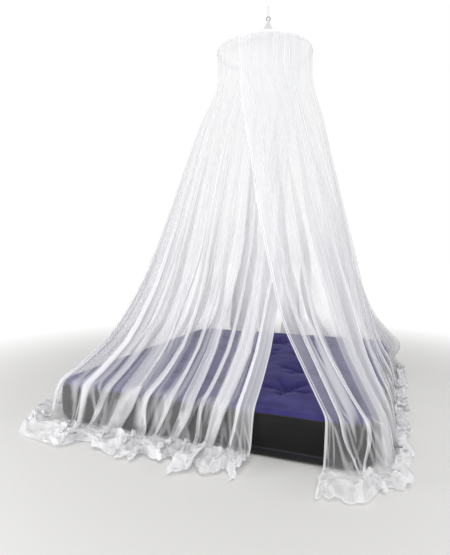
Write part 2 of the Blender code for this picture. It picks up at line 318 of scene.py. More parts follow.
sideFinish = {
    "sockets": {"Roughness": 0.55, "Specular IOR Level": 0.2},
    "shades": ((0.0016, 0.0016, 0.0019), (0.0030, 0.0030, 0.0035)),
    "shadesAt": (0.3, 0.7),
    "tone": (6.0, 3.0),         # mottling to the metre, and its detail
    "grain": (700.0, 2.0),
    "relief": (0.25, 0.0006),   # strength and depth
}
baseFinish = {
    **sideFinish,
    "sockets": {"Roughness": 0.5, "Specular IOR Level": 0.2},
    "shades": ((0.006, 0.006, 0.007), (0.011, 0.011, 0.013)),
}
seamFinish = {
    **baseFinish,
    "shades": ((0.010, 0.010, 0.016), (0.022, 0.022, 0.034)),
}
tapeFinish = {
    "sockets": {"Roughness": 0.75},
    "shades": ((0.90, 0.90, 0.91), (0.97, 0.97, 0.97)),
    "shadesAt": (0.3, 0.7),
    "tone": (120.0, 2.0),
    "grain": (1500.0, 1.0),     # its weave
    "relief": (0.3, 0.0004),
}
cordFinish = {
    "sockets": {"Roughness": 0.85},
    "shades": ((0.52, 0.53, 0.56), (0.80, 0.80, 0.82)),
    "shadesAt": (0.3, 0.7),
    "tone": (900.0, 2.0, (1.0, 1.0, 2.5)),      # its strands, stretched along it
    "relief": (0.5, 0.0006),
}


# mottled between two shades, with a fine relief of its own grain or of the mottling
def makeGrainyMaterial(name, finish):
    material, tree, _ = newMaterial(name, finish["sockets"])
    tone = noiseNode(tree, *finish["tone"])
    rampNode(tree, tone, finish["shadesAt"], finish["shades"])
    grain = noiseNode(tree, *finish["grain"]) if "grain" in finish else tone
    bumpNode(tree, grain, *finish["relief"])
    return material


steelFinish = {
    "sockets": {"Metallic": 1.0},
    "shades": ((0.11, 0.11, 0.12), (0.30, 0.30, 0.31)),
    "shadesAt": (0.35, 0.75),
    "wear": (300.0, 3.0),
    "roughness": (0.25, 0.25),  # least, and how much more where it is worn
}


def makeSteelMaterial():
    finish = steelFinish
    material, tree, shader = newMaterial("ringSteel", finish["sockets"])
    wear = noiseNode(tree, *finish["wear"])
    rampNode(tree, wear, finish["shadesAt"], finish["shades"])
    least, more = finish["roughness"]
    tree.links.new(mathNode(tree, "MULTIPLY_ADD", wear, more, least), shader.inputs["Roughness"])
    return material


def smoothStep(u):
    return u * u * (3 - 2 * u)


# 0 up to start, 1 from start + length on, a straight line between
def ramp(at, start, length):
    return np.clip((at - start) / length, 0, 1)


# 1 at the middle, next to nothing from a width away on
def band(at, middle, width, power=4):
    return np.exp(-((at - middle) / width) ** power)


# values read between their knots, without overshoot
def smoothKnots(knots, values, at):
    knots, values = np.asarray(knots, float), np.asarray(values, float)
    step = np.diff(knots)
    rise = np.diff(values) / step
    slope = np.zeros(len(knots))
    slope[0], slope[-1] = rise[0], rise[-1]
    product = rise[1:] * rise[:-1]
    total = np.where(product > 0, rise[1:] + rise[:-1], 1.0)
    slope[1:-1] = np.where(product > 0, 2 * product / total, 0.0)
    cell = np.clip(np.searchsorted(knots, at, side="right") - 1, 0, len(step) - 1)
    u = (at - knots[cell]) / step[cell]
    left, right = values[cell], values[cell + 1]
    run = step[cell]
    return ((2 * u**3 - 3 * u**2 + 1) * left + (u**3 - 2 * u**2 + u) * run * slope[cell]
            + (3 * u**2 - 2 * u**3) * right + (u**3 - u**2) * run * slope[cell + 1])


# a smooth random line from -1 to 1, with count bends over 0 to 1
def waver(at, count, seed):
    heights = np.random.default_rng(seed).uniform(-1, 1, count + 2)
    place = np.clip(np.asarray(at, float), 0, 1) * count
    cell = np.minimum(place.astype(int), count)
    u = smoothStep(place - cell)
    return heights[cell] * (1 - u) + heights[np.minimum(cell + 1, count + 1)] * u


# a smooth random field from -1 to 1, over u and v from 0 to 1
def patchNoise(u, v, cellsU, cellsV, seed):
    lattice = np.random.default_rng(seed).uniform(-1, 1, (cellsU + 2, cellsV + 2))
    placeU, placeV = np.clip(u, 0, 1) * cellsU, np.clip(v, 0, 1) * cellsV
    cellU, cellV = np.minimum(placeU.astype(int), cellsU), np.minimum(placeV.astype(int), cellsV)
    fracU, fracV = smoothStep(placeU - cellU), smoothStep(placeV - cellV)
    low = lattice[cellU, cellV] * (1 - fracU) + lattice[cellU + 1, cellV] * fracU
    high = lattice[cellU, cellV + 1] * (1 - fracU) + lattice[cellU + 1, cellV + 1] * fracU
    return low * (1 - fracV) + high * fracV


# a creased field from 0 to 1, sharp along its crests
def ridges(u, v, cellsU, cellsV, seed, steep=2.2):
    return 1 - np.minimum(1.0, steep * np.abs(patchNoise(u, v, cellsU, cellsV, seed)))


# points[column, row, xyz] made a sheet of quads, with its own UV map and values for each point
def gridMesh(name, points, clothUv, values, material, closed=False):
    columns, rows = points.shape[:2]
    index = np.arange(columns * rows).reshape(columns, rows)
    left = index if closed else index[:-1]
    right = np.roll(index, -1, axis=0) if closed else index[1:]
    faces = np.stack([left[:, :-1], left[:, 1:], right[:, 1:], right[:, :-1]], -1).reshape(-1, 4)
    mesh = bpy.data.meshes.new(name)
    mesh.vertices.add(columns * rows)
    mesh.vertices.foreach_set("co", points.reshape(-1).astype(np.float32))
    mesh.loops.add(faces.size)
    mesh.loops.foreach_set("vertex_index", faces.reshape(-1).astype(np.int32))
    mesh.polygons.add(len(faces))
    mesh.polygons.foreach_set("loop_start", np.arange(0, faces.size, 4, dtype=np.int32))
    mesh.update(calc_edges=True)

    flat = clothUv.reshape(-1, 2)[faces]
    if closed:                  # the faces that close the ring run on past the last column
        flat[-(rows - 1):, 2:, 0] = 2 * clothUv[-1, 0, 0] - clothUv[-2, 0, 0]
    mesh.uv_layers.new(name="cloth").data.foreach_set("uv", flat.reshape(-1).astype(np.float32))
    for valueName, value in values.items():
        attribute = mesh.attributes.new(valueName, "FLOAT", "POINT")
        spread = np.broadcast_to(value, (columns, rows)).reshape(-1)
        attribute.data.foreach_set("value", spread.astype(np.float32))
    mesh.polygons.foreach_set("use_smooth", np.ones(len(faces), bool))
    mesh.validate()
    mesh.materials.append(material)
    thing = bpy.data.objects.new(name, mesh)
    bpy.context.scene.collection.objects.link(thing)
    return thing


bed = {
    "halfX": (bedHigh.x - bedLow.x) / 2,
    "halfY": (bedHigh.y - bedLow.y) / 2,
    "corner": 0.17,             # radius, seen from above
    "rim": 0.05,                # radius of the upper and the lower edge
    "around": 420,              # columns of the mesh
    "cornerSteps": 24,
    "topRings": 52,
    "rimRings": 6,
    "underRimRings": 5,
    "wallRings": 10,
    "footRings": 8,
    "baseRings": 3,
    "flockLow": 0.204,          # height where the flock ends, on the rounded rim
    "seamWidth": 0.005,
    "seamRidge": 0.0022,
    "lowSeam": 0.050,           # height of the seam above the floor
    "lowSeamWidth": 0.006,
    "lowSeamRidge": 0.00154,
    "wallEnd": 0.054,           # the bulging wall comes down to here
    "bulge": 0.004,
    "ripples": 34,              # in the wall, all round
    "rippleDepth": 0.00125,
    "rippleHeights": (0.06, 0.16),
    "underside": 0.0005,        # just off the floor
    "puff": 0.003,              # rise of the top inside its rim
    "puffRun": 0.10,
    "tuftsAcross": 5,
    "tuftsAlong": 4,
    "tuftPitch": (0.383, 0.405),
    "tuftDepth": 0.052,
    "tuftWidth": 0.060,
    "tuftUneven": 0.25,
    "tuftCreases": 5,           # running out from each tuft
    "creaseDepth": 0.55,        # of the tuft's
    "creaseMiddle": 0.07,       # from the tuft
    "creaseRun": 0.045,
    "weldWithin": 0.0002,
}


# an outline with round corners from its front middle, anticlockwise: distance, x, y, outward angle
def edgeTrack(halfX, halfY, radius):
    knots = [(0.0, -halfY, -math.pi / 2)]
    for quarter, (signX, signY) in enumerate(((1, -1), (1, 1), (-1, 1), (-1, -1))):
        for step in range(bed["cornerSteps"] + 1):
            angle = math.pi / 2 * (quarter - 1 + step / bed["cornerSteps"])
            knots.append((signX * (halfX - radius) + radius * math.cos(angle),
                          signY * (halfY - radius) + radius * math.sin(angle), angle))
    knots.append((0.0, -halfY, 1.5 * math.pi))
    x, y, angle = np.array(knots).T
    distance = np.concatenate(([0.0], np.cumsum(np.hypot(np.diff(x), np.diff(y)))))
    return distance, x, y, angle


# how far the top lies below its crown at x, y
def tuftDip(x, y):
    pitchX, pitchY = bed["tuftPitch"]
    lastX, lastY = (bed["tuftsAcross"] - 1) / 2, bed["tuftsAlong"] / 2
    nearX = np.clip(np.round(x / pitchX), -lastX, lastX)
    nearY = np.clip(np.floor(y / pitchY), -lastY, lastY - 1) + 0.5
    dx, dy = x - nearX * pitchX, y - nearY * pitchY
    distance = np.hypot(dx, dy)
    twist = np.sin(nearX * 12.9 + nearY * 78.2) * 3.0       # each tuft's creases start elsewhere
    deep = 1 + bed["tuftUneven"] * np.sin(nearX * 5.1 + nearY * 9.7)
    spokes = np.cos(bed["tuftCreases"] * np.arctan2(dy, dx) + twist)
    fade = np.exp(-0.5 * ((distance - bed["creaseMiddle"]) / bed["creaseRun"]) ** 2)
    dip = deep * np.exp(-distance / bed["tuftWidth"])
    return bed["tuftDepth"] * (dip + bed["creaseDepth"] * np.maximum(0, spokes) ** 2 * fade)


# rings of the mattress from the top's rim down to the underside: inset, height, finish below
def bedWall(flock, side, base, seam):
    top, rim, ridge = bedHigh.z, bed["rim"], bed["seamRidge"]
    seamTurn = math.acos((bed["flockLow"] - top + rim) / rim)
    seamHalf = bed["seamWidth"] / 2 / rim
    aboveSeam, belowSeam = seamTurn - seamHalf, seamTurn + seamHalf
    turns = [(aboveSeam * step / bed["rimRings"], 0.0, flock) for step in range(bed["rimRings"])]
    turns += [(aboveSeam, 0.0, seam), (seamTurn, ridge, seam), (belowSeam, 0.0, side)]
    for step in range(1, bed["underRimRings"]):
        turns.append((belowSeam + (math.pi / 2 - belowSeam) * step / bed["underRimRings"], 0.0, side))
    rings = [(rim - (rim + out) * math.sin(turn), top - rim + (rim + out) * math.cos(turn), finish)
             for turn, out, finish in turns]

    wallTop = top - rim
    rings.append((0.0, wallTop, side))
    for step in range(1, bed["wallRings"]):
        share = step / bed["wallRings"]
        rings.append((-bed["bulge"] * math.sin(math.pi * share),
                      wallTop + (bed["wallEnd"] - wallTop) * share, side))
    rings.append((0.0, bed["lowSeam"] + bed["lowSeamWidth"] / 2, seam))
    rings.append((-bed["lowSeamRidge"], bed["lowSeam"], seam))
    rings.append((0.0, bed["lowSeam"] - bed["lowSeamWidth"] / 2, base))
    for step in range(1, bed["footRings"] + 1):
        turn = math.pi / 2 * step / bed["footRings"]
        rings.append((rim * (1 - math.cos(turn)), rim * (1 - math.sin(turn)) + bed["underside"], base))
    return rings


def makeBed():
    flock, side, base, seam = range(4)
    materials = [makeFlockMaterial(), makeGrainyMaterial("sideVinyl", sideFinish),
                 makeGrainyMaterial("baseVinyl", baseFinish), makeGrainyMaterial("seamVinyl", seamFinish)]
    track, x, y, angle = edgeTrack(bed["halfX"], bed["halfY"], bed["corner"])
    columns = bed["around"]
    share = np.arange(columns) / columns
    edgeX, edgeY, edgeTurn = (np.interp(share * track[-1], track, values) for values in (x, y, angle))
    outX, outY = np.cos(edgeTurn), np.sin(edgeTurn)
    rings, finishes = [], []

    # the top, from its middle line out to the rim
    spine = bed["halfY"] - bed["halfX"]
    spineX, spineY = np.zeros(columns), np.clip(edgeY, -spine, spine)
    rimX, rimY = edgeX - bed["rim"] * outX, edgeY - bed["rim"] * outY
    for ring in range(bed["topRings"]):
        inward = 1 - ring / bed["topRings"]
        inX = rimX * (1 - inward) + spineX * inward
        inY = rimY * (1 - inward) + spineY * inward
        ease = smoothStep(ramp(np.hypot(rimX - inX, rimY - inY), 0.0, bed["puffRun"]))
        rings.append(np.stack([inX, inY, bedHigh.z + bed["puff"] * ease - tuftDip(inX, inY) * ease], -1))
        finishes.append(flock)

    # the wall, a little rippled half-way up
    lowest, highest = bed["rippleHeights"]
    for inset, height, finish in bedWall(flock, side, base, seam):
        if lowest < height < highest:
            inset = inset + bed["rippleDepth"] * np.sin(fullTurn * bed["ripples"] * share)
        rings.append(np.stack([edgeX - inset * outX, edgeY - inset * outY, np.full(columns, height)], -1))
        finishes.append(finish)

    # the underside, closed along the middle line
    lastX, lastY = rings[-1][:, 0], rings[-1][:, 1]
    for step in range(1, bed["baseRings"] + 1):
        inward = step / bed["baseRings"]
        inX = lastX * (1 - inward) + spineX * inward
        inY = lastY * (1 - inward) + spineY * inward
        rings.append(np.stack([inX, inY, np.full(columns, bed["underside"])], -1))
        finishes.append(base)

    grid = np.stack(rings, 1)
    thing = gridMesh("airBed", grid, grid[..., :2].copy(), {}, materials[flock], closed=True)
    for material in materials[1:]:
        thing.data.materials.append(material)
    faceFinish = np.tile(np.array(finishes[:-1]), columns)
    thing.data.polygons.foreach_set("material_index", faceFinish.astype(np.int32))
    work = bmesh.new()
    work.from_mesh(thing.data)
    bmesh.ops.remove_doubles(work, verts=work.verts, dist=bed["weldWithin"])
    bmesh.ops.recalc_face_normals(work, faces=work.faces)
    work.to_mesh(thing.data)
    work.free()
    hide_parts("air_mattress")
    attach(thing, "root")
    print("mattress made:", len(thing.data.polygons), "faces")


hoop = {
    "wire": 0.005,              # radius, with its tape
    "height": 2.30,
    "tipX": -1.0,               # degrees, rise towards +X
    "tipY": 2.3,                # degrees, rise towards +Y
    "aroundSteps": 192,
    "tubeSteps": 14,
    "tapeRidge": 0.0004,
    "tapeTurns": 50,
}
hoop["radius"] = (hoopHigh.x - hoopLow.x) / 2 - hoop["wire"]
hoop["middle"] = ((hoopHigh.x + hoopLow.x) / 2, (hoopHigh.y + hoopLow.y) / 2, hoop["height"])


# rise of the tipped hoop at x, y from its middle
def hoopRise(x, y):
    return x * math.tan(math.radians(hoop["tipX"])) + y * math.tan(math.radians(hoop["tipY"]))


def makeHoop(material):
    bpy.ops.object.select_all(action="DESELECT")
    bpy.ops.mesh.primitive_torus_add(major_segments=hoop["aroundSteps"], minor_segments=hoop["tubeSteps"],
                                     major_radius=hoop["radius"], minor_radius=hoop["wire"],
                                     location=(0, 0, 0))
    thing = bpy.context.object
    thing.name = "hoopTape"
    for vertex in thing.data.vertices:          # tape edges wind round the wire
        x, y, z = vertex.co
        angle = math.atan2(y, x)
        out = math.hypot(x, y) - hoop["radius"]
        ridge = hoop["tapeRidge"] * math.sin(hoop["tapeTurns"] * angle + math.atan2(z, out))
        thicker = 1 + ridge / hoop["wire"]
        x = (hoop["radius"] + out * thicker) * math.cos(angle)
        y = (hoop["radius"] + out * thicker) * math.sin(angle)
        vertex.co = Vector((x, y, z * thicker + hoopRise(x, y))) + Vector(hoop["middle"])
    bpy.ops.object.shade_smooth()
    thing.data.materials.append(material)
    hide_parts("hoop")
    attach(thing, "root")
    print("hoop made")


def dressCadNode(name, material):
    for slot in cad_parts[name].material_slots:
        slot.material = material
    print(name, "finished")


# round the skirt, along goes from 0 at its right-hand front edge to 1 at the left-hand one;
# down the cloth, drop goes from 0 at the hoop to 1 at the floor hem
skirt = {
    "lapStart": -11.4,          # degrees round the hoop from the front, towards +X
    "folds": 40,
    "foldsATurn": 33,           # the others overlap at the front
    "edgeClear": 0.005,         # the cloth lies this far off the mattress edge
    "edgeHeight": 0.229,
    "edgeRun": 0.78,            # from under the hoop out to that edge
    "doorRight": 0.655,         # right-hand front edge, along the mattress edge from its front middle
    "doorLeft": 0.335,          # left-hand front edge
    "crowding": 0.55,           # how much closer the folds hang at the front than at the back
    "flapZone": (0.0, 0.06, 2), # about this much of the cloth falls on a line of its own
    "reach": {"front": 0.20, "right": 0.07, "left": 0.09, "back": 0.10},    # out over the floor
    "reachUneven": ((0.096, 13, 0.8), (0.064, 29, 2.1)),    # share of it, waves round, start
    "hoopSink": 0.0055,         # the top edge hangs this far under the middle of the hoop's tube
    "sinkFade": 60,             # gone after one part in this many of the way down
    "casing": 0.012,            # doubled net round the hoop
    "casingEnd": 1.3,           # it thins out to this many times its width
    "columnsPerFold": 26,
    "windowColumns": 0.5,       # 0 even columns, more puts them closer between the folds
    "rowsHanging": 22,
    "rowsDraped": 44,
    "rowsFloor": 28,
    "drapeAbove": 0.13,         # closer rows start this far above the mattress edge
    "edgeSoftness": 0.12,       # length over which the sheet bends over that edge
    "edgeRounds": 32,           # of smoothing there
    "keepOff": 0.003,           # clear of the mattress
    "keepOffMore": 1.3,         # up to this many times more between the folds
    "floorClear": 0.0008,
    "hemWidth": 0.014,
    "flatWidth": 10.0,
    "flatShare": 0.78,          # of the rectangle, as the net is cut narrower at the top
}
skirtRows = {"edge": 8, "foot": 11}     # rows of the table below
skirtColumns = (
    "fall",                     # share of the way down from the hoop to the mattress edge
    "right", "left", "flap",    # share of the way out to it: at the right, the left and the flap
    "fold", "broad",            # depth of the folds, and share of the broad ones
    "lap",                      # the right-hand front edge lies this far out, the left-hand one in
    "wall", "share", "below",   # out from that edge, share of the reach over the floor, under the edge
    "lift",                     # height of the waves in the heap
    "pinch", "stack",           # how far folds lap over, and how much they rise as they do
    "fine",                     # depth of the small gathers
    "cross",                    # sideways shift of every other fold
)
# one row for each level from hoop to floor hem
skirtLevels = (
    (0.00, 0.000, 0.000, 0.000, 0.004, 0.0, 0.007, 0.000, 0.00, 0.0000, 0.000, 0.2, 0.000, 0.0004, 0.00),
    (0.08, -0.022, 0.000, 0.010, 0.007, 0.0, 0.014, 0.000, 0.00, 0.0000, 0.000, 0.5, 0.001, 0.0005, 0.02),
    (0.25, 0.116, 0.160, 0.101, 0.013, 0.2, 0.036, 0.000, 0.00, 0.0000, 0.000, 1.3, 0.006, 0.0008, -0.06),
    (0.40, 0.256, 0.278, 0.228, 0.018, 0.3, 0.036, 0.000, 0.00, 0.0000, 0.000, 2.1, 0.011, 0.0012, 0.08),
    (0.55, 0.408, 0.376, 0.323, 0.023, 0.4, 0.028, 0.000, 0.00, 0.0000, 0.000, 2.6, 0.015, 0.0018, 0.14),
    (0.70, 0.568, 0.480, 0.460, 0.028, 0.5, 0.014, 0.000, 0.00, 0.0000, 0.000, 3.0, 0.018, 0.0025, 0.05),
    (0.82, 0.700, 0.610, 0.590, 0.031, 0.5, 0.008, 0.000, 0.00, 0.0000, 0.000, 3.1, 0.018, 0.0034, -0.10),
    (0.92, 0.830, 0.765, 0.810, 0.030, 0.5, 0.004, 0.000, 0.00, 0.0000, 0.000, 3.2, 0.016, 0.0034, -0.05),
    (1.00, 1.000, 1.000, 1.000, 0.024, 0.5, 0.000, -0.003, 0.00, 0.0000, 0.000, 3.1, 0.010, 0.0030, 0.16),
    (1.00, 1.000, 1.000, 1.000, 0.022, 0.4, 0.000, 0.020, 0.00, 0.0590, 0.000, 2.9, 0.009, 0.0036, 0.20),
    (1.00, 1.000, 1.000, 1.000, 0.024, 0.4, 0.000, 0.034, 0.04, 0.1550, 0.000, 2.6, 0.010, 0.0050, -0.16),
    (1.00, 1.000, 1.000, 1.000, 0.018, 0.4, 0.000, 0.040, 0.20, 0.2070, 0.020, 2.4, 0.010, 0.0060, -0.22),
    (1.00, 1.000, 1.000, 1.000, 0.014, 0.4, 0.000, 0.034, 0.62, 0.2090, 0.048, 2.0, 0.012, 0.0060, 0.00),
    (1.00, 1.000, 1.000, 1.000, 0.020, 0.4, 0.000, 0.034, 1.00, 0.2275, 0.016, 1.6, 0.012, 0.0040, 0.10),
)


def skirtGrid():
    levels = {name: np.array(column) for name, column in zip(skirtColumns, zip(*skirtLevels))}
    slope = math.hypot(hoop["height"] - skirt["edgeHeight"], skirt["edgeRun"])
    out = levels["wall"] + levels["share"] * skirt["reach"]["front"]
    steps = np.hypot(np.diff(levels["fall"]) * slope, np.hypot(np.diff(out), np.diff(levels["below"])))
    knots = np.concatenate(([0.0], np.cumsum(steps)))
    mark = {name: knots[row] for name, row in skirtRows.items()}
    drapeStart = mark["edge"] - skirt["drapeAbove"]
    at = np.concatenate((
        (0.0, skirt["casing"], skirt["casing"] * skirt["casingEnd"]),
        np.linspace(0.0, drapeStart, skirt["rowsHanging"], endpoint=False)[1:],
        np.linspace(drapeStart, mark["foot"], skirt["rowsDraped"], endpoint=False),
        np.linspace(mark["foot"], knots[-1], skirt["rowsFloor"])))[None, :]
    columns = skirt["folds"] * skirt["columnsPerFold"]
    hemStep = skirt["hemWidth"] / skirt["flatWidth"]
    inner = np.linspace(hemStep, 1 - hemStep, columns - 1)
    turns = fullTurn * skirt["folds"]
    inner = inner + skirt["windowColumns"] * np.sin(turns * inner) / turns
    return SimpleNamespace(
        along=np.concatenate(([0.0], inner, [1.0]))[:, None], at=at, drop=at / at[0, -1], mark=mark,
        level={name: smoothKnots(knots, values, at) for name, values in levels.items()})


# where each point would lie without folds, and the way out of the sheet there
def hangFlat(net):
    along, level = net.along, net.level
    angle = math.radians(skirt["lapStart"]) + fullTurn * skirt["folds"] / skirt["foldsATurn"] * along
    hoopOut = np.stack([np.sin(angle), -np.cos(angle)], -1)
    onHoop = hoop["radius"] * hoopOut
    top = hoop["height"] + hoopRise(onHoop[..., 0], onHoop[..., 1])
    onHoop = onHoop + np.array(hoop["middle"])[:2]
    clear = skirt["edgeClear"]
    track, trackX, trackY, trackTurn = edgeTrack(bed["halfX"] + clear, bed["halfY"] + clear,
                                                 bed["corner"] + clear)
    crowd = along - skirt["crowding"] * np.sin(fullTurn * along) / fullTurn
    distance = skirt["doorRight"] + (track[-1] - skirt["doorRight"] + skirt["doorLeft"]) * crowd
    distance = np.mod(distance, track[-1])
    onEdge = np.stack([np.interp(distance, track, trackX), np.interp(distance, track, trackY)], -1)
    edgeTurn = np.interp(distance, track, trackTurn)
    edgeOut = np.stack([np.cos(edgeTurn), np.sin(edgeTurn)], -1)

    toLeft = 0.5 - 0.5 * np.cos(math.pi * along)
    spread = level["right"] + (level["left"] - level["right"]) * toLeft
    spread = spread + (level["flap"] - spread) * band(along, *skirt["flapZone"])
    toEdge = spread[..., None]
    outward = hoopOut * (1 - toEdge) + edgeOut * toEdge
    outward /= np.linalg.norm(outward, axis=-1, keepdims=True)
    sides = {"front": -edgeOut[..., 1], "right": edgeOut[..., 0],
             "left": -edgeOut[..., 0], "back": edgeOut[..., 1]}
    reach = sum(skirt["reach"][side] * np.maximum(0, facing) ** 2 for side, facing in sides.items())
    reach = reach * (1 + sum(share * np.sin(fullTurn * waves * along + start)
                             for share, waves, start in skirt["reachUneven"]))
    out = level["lap"] * np.cos(math.pi * along) + level["wall"] + level["share"] * reach
    net.outward = outward
    net.place = onHoop * (1 - toEdge) + onEdge * toEdge + outward * out[..., None]
    net.height = top * (1 - level["fall"]) + skirt["edgeHeight"] * level["fall"] - level["below"]
    net.height = net.height - skirt["hoopSink"] * np.maximum(0.0, 1 - level["fall"] * skirt["sinkFade"])


pleats = {
    "broad": 23,                # broader folds that the narrow ones gather into
    "broadStray": (1.9, 3),     # how unevenly they come, in this many waves round
    "narrowDepth": 0.45,        # of the broad ones'
    "uneven": (0.35, 5, 1.3),   # share by which some folds are flatter, waves round, start
    "stray": ((0.05, 1.7, 3.0), (0.03, 3.3, 11.0)),     # sideways, in folds; waves down and round
    "hemFlat": 0.03,            # folds flatten out this near the front edges
    "hemDepth": 0.35,           # to this share
    "hemLap": 1.2,
    "lap": (0.86, 0.48, 0.14),  # how far folds lap over: mean, from fold to fold, down each one
    "flapZone": (0.0, 0.085),   # they lap less by the outer front edge
    "flapLess": 0.42,
    "second": (0.26, 0.16),     # a second lap in each fold: mean, from fold to fold
    "secondStray": 1.6,
    "secondStart": 4,           # full from one part in this many of the drop
    "crossDown": 0.06,          # shift of every other fold, uneven down the cloth
    "crossStart": 5,
    "wallShift": 0.75,          # sideways on the mattress wall, of the fold's width
    "wallWidest": 0.11,
    "fullPinch": 2.2,           # laps of this pinch bunch the cloth fully
    "mostPinch": 2.6,
    "bunched": (0.2, 1.4),      # least and most
    "lean": 12.0,               # folds lap towards the back from both sides, and turn over this sharply
    "behind": (1.6, 0.25),      # how much of the sides counts as the back
    "behindLess": 0.55,         # folds rise less there
    "gathers": (3, 1.4),        # to a fold, and how unevenly they come
    "gatherUneven": (0.3, 0.25, 3.1, 11),   # shares less at random and in waves; waves down and round
    "gatherDepth": (0.25, 1.1), # everywhere, and more where the cloth is bunched
    "gatherDown": (0.35, 0.7, 0.15),    # share of it up the net, drop where it grows, over how much
    "sideZone": (0.20, 0.085),  # shallower gathers round the right-hand side
    "sideLess": 0.65,
}


def foldSkirt(net):
    along, drop, level, count = net.along, net.drop, net.level, skirt["folds"]
    sideways = np.gradient(net.place, along[:, 0], axis=0)
    width = np.linalg.norm(sideways, axis=-1)
    sideways = sideways / np.maximum(width, 1e-9)[..., None]
    width = width / count
    hem = np.minimum(along, 1 - along) / pleats["hemFlat"]
    nearHem = np.minimum(1.0, hem)
    flat = np.minimum(1.0, pleats["hemDepth"] + (1 - pleats["hemDepth"]) * hem)

    less, waves, start = pleats["uneven"]
    strength = 1 - less * (0.5 + 0.5 * np.sin(fullTurn * waves * along + start))
    stray = sum(far * np.sin(fullTurn * (down * drop + around * along))
                for far, down, around in pleats["stray"])
    phase = fullTurn * (count * along + stray * np.sin(math.pi * drop))
    uneven, waves = pleats["broadStray"]
    wide = np.sin(fullTurn * pleats["broad"] * along + uneven * np.sin(fullTurn * waves * along))
    wave = (1 - level["broad"]) * pleats["narrowDepth"] * np.cos(phase) * strength + level["broad"] * wide
    wave = wave * flat

    # knife pleats: each fold laps over itself, some folds strongly and some hardly
    mean, each, downIt = pleats["lap"]
    lively = mean + each * waver(along, count, 11) + downIt * patchNoise(along, drop, count * 2, 8, 12)
    pinch = level["pinch"] * lively * np.minimum(1.0, hem * pleats["hemLap"])
    pinch = pinch * (1 - pleats["flapLess"] * band(along, *pleats["flapZone"]))
    shift = -pinch * width / fullTurn * np.sin(phase)
    mean, each = pleats["second"]
    second = pinch * (mean + each * waver(along, count, 16)) * np.minimum(1.0, drop * pleats["secondStart"])
    uneven = pleats["secondStray"] * waver(along, count, 17)
    shift = shift - second * width / fullTurn * np.sin(3 * phase + uneven)
    pair = waver(along, count // 2, 13)
    pair = np.sign(pair) * np.abs(pair) ** 0.5
    crossing = pleats["crossDown"] * patchNoise(along, drop, count, 9, 14)
    crossing = level["cross"] * pair + crossing * np.minimum(1.0, drop * pleats["crossStart"])
    shift = shift + width * crossing * np.cos(phase / 2) * nearHem
    onWall = ramp(net.at, net.mark["edge"], net.mark["foot"] - net.mark["edge"])
    caught = np.minimum(width, pleats["wallWidest"]) * pleats["wallShift"] * onWall
    shift = shift + caught * waver(along, count, 15) * nearHem
    lean = np.clip((0.5 - along) * pleats["lean"], -1, 1)
    wider, later = pleats["behind"]
    behind = np.clip((0.5 - 0.5 * np.cos(fullTurn * along)) * wider - later, 0, 1)
    stack = level["stack"] * (1 - pleats["behindLess"] * behind)
    stack = stack * np.clip(pinch, 0, pleats["mostPinch"]) / pleats["fullPinch"] * np.sin(phase) * lean

    # small gathers, deepest where the cloth is bunched
    bunched = (0.5 + 0.5 * np.cos(phase)) * np.clip(pinch / pleats["fullPinch"], *pleats["bunched"])
    number, uneven = pleats["gathers"]
    gather = np.cos(fullTurn * number * (count * along + stray) + uneven * waver(along, 60, 5))
    atRandom, inWaves, down, around = pleats["gatherUneven"]
    gather = gather * (1 - atRandom + atRandom * waver(along, 170, 8)) * flat
    gather = gather * (1 - inWaves + inWaves * np.sin(fullTurn * (down * drop + around * along)))
    everywhere, more = pleats["gatherDepth"]
    above, start, length = pleats["gatherDown"]
    small = level["fine"] * gather * (everywhere + more * bunched)
    small = small * (above + (1 - above) * ramp(drop, start, length))
    small = small * (1 - pleats["sideLess"] * band(along, *pleats["sideZone"]))

    depth = level["fold"] * wave + stack + small
    net.xy = net.place + net.outward * depth[..., None] + sideways * shift[..., None]
    net.z = net.height + level["lift"] * (0.5 + 0.5 * wave)
    net.sideways, net.phase, net.bunched, net.across = sideways, phase, bunched, shift / width


ruffles = {
    "onFloor": (0.06, 0.30),    # share of the reach where the cloth comes to lie on the floor, and how fast
    "flapZone": (0.0, 0.075),   # the open flap lies in larger, lower lobes
    "sideZone": (0.20, 0.085),  # calmer round the right-hand side
    "crests": (                 # height, height at the flap, share less at the side, round, out, seed
        (0.50, 0.45, 0.0, 175, 7, 31),
        (0.42, 0.00, 0.9, 360, 14, 32),
        (0.26, 0.45, 0.0, 90, 3, 36)),
    "sideLess": 0.25,
    "sideAsideLess": 0.5,
    "bends": (1.35, 0.45, 0.15),    # waves from foot to hem: mean, and two sizes of unevenness
    "lie": 0.004,               # above the floor
    "bendHeight": 0.008,
    "bendOut": 0.016,
    "crestHeight": 0.042,
    "flapLower": 0.010,
    "outwardLower": (1.1, 0.6),     # crests at the foot, and how much lower at the hem
    "outStray": (0.009, 170, 6, 35),    # how far, round, out, seed
    "asideStray": ((0.009, 120, 5, 33), (0.005, 300, 12, 34)),
    "flapAsideLess": 0.3,
    "flapSmooth": 0.6,          # less of the material's facets there
    "lobes": (37, 0.5, 7),      # of the hem, all round; how unevenly they come, in how many waves
    "lobeReach": (0.013, 0.015),    # and how much more at the flap
    "lobeMean": 0.62,
}


